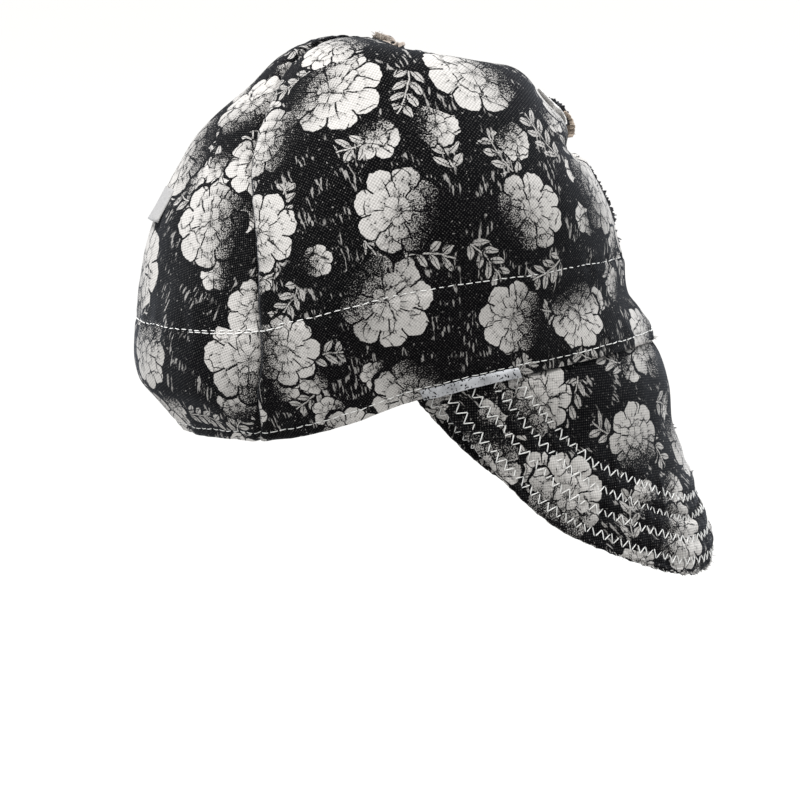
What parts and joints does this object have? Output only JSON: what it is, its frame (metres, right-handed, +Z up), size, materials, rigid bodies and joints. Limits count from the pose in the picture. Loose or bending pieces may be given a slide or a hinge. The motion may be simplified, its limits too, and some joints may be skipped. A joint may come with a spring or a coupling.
{
  "type": "welding cap",
  "caption": "Soft cotton welding cap with a rounded crown of sewn panels, an inner sweatband and a long drooping brim stitched in zigzag rows.",
  "frame": {"origin": "centre of the head opening, in the plane of the crown's hem", "axes": "+Z up out of the crown, -Y towards the brim (the wearer's front), +X towards the wearer's left; the cap is in the attitude in which it is worn, with the hem tilted up towards the front"},
  "size_m": [0.1706, 0.2452, 0.2229],
  "materials": {
    "printed_cotton": "matte plain weave, pale print on a near-black ground",
    "band_cotton": "matte plain weave",
    "frayed_cotton": "matte, frayed",
    "label_tape": "smooth woven tape",
    "white_thread": "slightly glossy sewing thread"
  },
  "bodies": {
    "root": {"crown_panel_right": "printed_cotton", "crown_panel_left": "printed_cotton", "crown_panel_back": "printed_cotton", "sweatband": "band_cotton", "brim_top_cover": "printed_cotton", "brim_under_cover": "printed_cotton", "crown_knot": "frayed_cotton", "back_label": "label_tape"}
  },
  "joints": []
}
